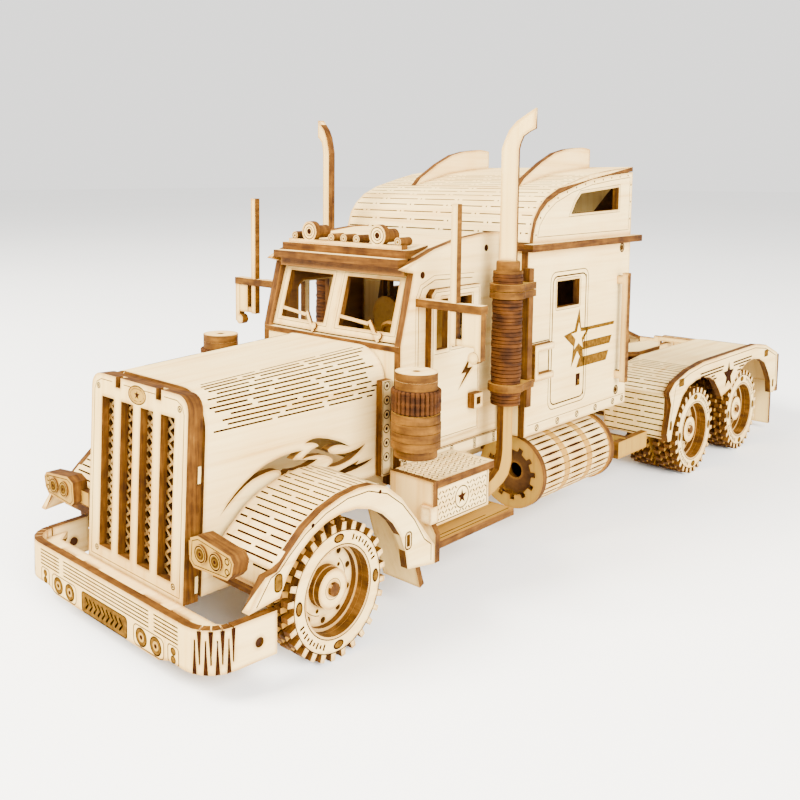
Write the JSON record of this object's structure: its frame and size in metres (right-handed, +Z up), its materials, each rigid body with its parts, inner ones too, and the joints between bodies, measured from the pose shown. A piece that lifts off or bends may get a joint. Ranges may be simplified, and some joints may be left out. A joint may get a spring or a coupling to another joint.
{
  "type": "wooden 3d jigsaw model truck",
  "caption": "Laser-cut plywood kit model of a long-nose road tractor with sleeper cab, opening doors, rolling axles and a tilting trailer coupling.",
  "frame": {"origin": "centre of the footprint on the surface that the wheels stand on", "axes": "+Z up, -Y towards the front bumper, +X towards the truck's left side"},
  "size_m": [0.089, 0.308, 0.12],
  "materials": {
    "pale_ply": "unfinished birch plywood face with browned laser-cut edges",
    "brown_ply": "stack of thin plywood discs and bars seen on their browned laser-cut edges"
  },
  "bodies": {
    "truck_body": {"bumper_skin": "pale_ply", "bumper_step": "pale_ply", "grille_front": "pale_ply", "hood_shell": "pale_ply", "cab_shell": "pale_ply", "cab_interior": "pale_ply", "windscreen_frame": "pale_ply", "cab_roof": "pale_ply", "sleeper_shell": "pale_ply", "sleeper_roof": "pale_ply", "tail_board": "pale_ply", "chassis_frame": "brown_ply", "grille_surround": "brown_ply", "grille_lattice": "brown_ply", "sun_visor": "brown_ply", "roof_light_bar": "brown_ply", "fifth_wheel_base": "brown_ply", "hood_trim_left": "pale_ply", "hood_trim_right": "pale_ply", "front_fender_left": "pale_ply", "front_fender_right": "pale_ply", "rear_fender_left": "pale_ply", "rear_fender_right": "pale_ply", "mirror_left": "pale_ply", "mirror_right": "pale_ply", "step_box_left": "pale_ply", "step_box_right": "pale_ply", "fuel_tank_left": "pale_ply", "fuel_tank_right": "pale_ply", "exhaust_stack_left": "pale_ply", "exhaust_stack_right": "pale_ply", "lower_pipe_left": "pale_ply", "lower_pipe_right": "pale_ply", "roof_fin_left": "pale_ply", "roof_fin_right": "pale_ply", "grab_bar_long_left": "pale_ply", "grab_bar_long_right": "pale_ply", "door_bracket_left": "pale_ply", "door_bracket_right": "pale_ply", "headlight_left": "brown_ply", "headlight_right": "brown_ply", "air_cleaner_left": "brown_ply", "air_cleaner_right": "brown_ply", "guard_bar_left": "brown_ply", "guard_bar_right": "brown_ply", "muffler_left": "brown_ply", "muffler_right": "brown_ply"},
    "axle_set_front": {"axle_front": "brown_ply", "wheel_front_left": "pale_ply", "wheel_front_right": "pale_ply"},
    "axle_set_mid": {"axle_mid": "brown_ply", "wheel_mid_left": "pale_ply", "wheel_mid_right": "pale_ply"},
    "axle_set_rear": {"axle_rear": "brown_ply", "wheel_rear_left": "pale_ply", "wheel_rear_right": "pale_ply"},
    "door_left": {"cab_door_left": "pale_ply"},
    "door_right": {"cab_door_right": "pale_ply"},
    "fifth_wheel_table": {"fifth_wheel": "pale_ply"}
  },
  "joints": [
    {"name": "axle_front_spin", "type": "hinge", "parent": "truck_body", "child": "axle_set_front", "pos_m": [0, -0.121, 0.015], "axis": [1, 0, 0], "continuous": true},
    {"name": "axle_mid_spin", "type": "hinge", "parent": "truck_body", "child": "axle_set_mid", "pos_m": [0, 0.058, 0.015], "axis": [1, 0, 0], "continuous": true},
    {"name": "axle_rear_spin", "type": "hinge", "parent": "truck_body", "child": "axle_set_rear", "pos_m": [0, 0.0995, 0.015], "axis": [1, 0, 0], "continuous": true},
    {"name": "door_left_swing", "type": "hinge", "parent": "truck_body", "child": "door_left", "pos_m": [0.026, -0.0744, 0.0545], "axis": [0, 0, -1], "range_deg": [0, 65]},
    {"name": "door_right_swing", "type": "hinge", "parent": "truck_body", "child": "door_right", "pos_m": [-0.026, -0.0744, 0.0545], "axis": [0, 0, 1], "range_deg": [0, 65]},
    {"name": "fifth_wheel_tilt", "type": "hinge", "parent": "truck_body", "child": "fifth_wheel_table", "pos_m": [0, 0.079, 0.0324], "axis": [1, 0, 0], "range_deg": [-12, 12]}
  ]
}
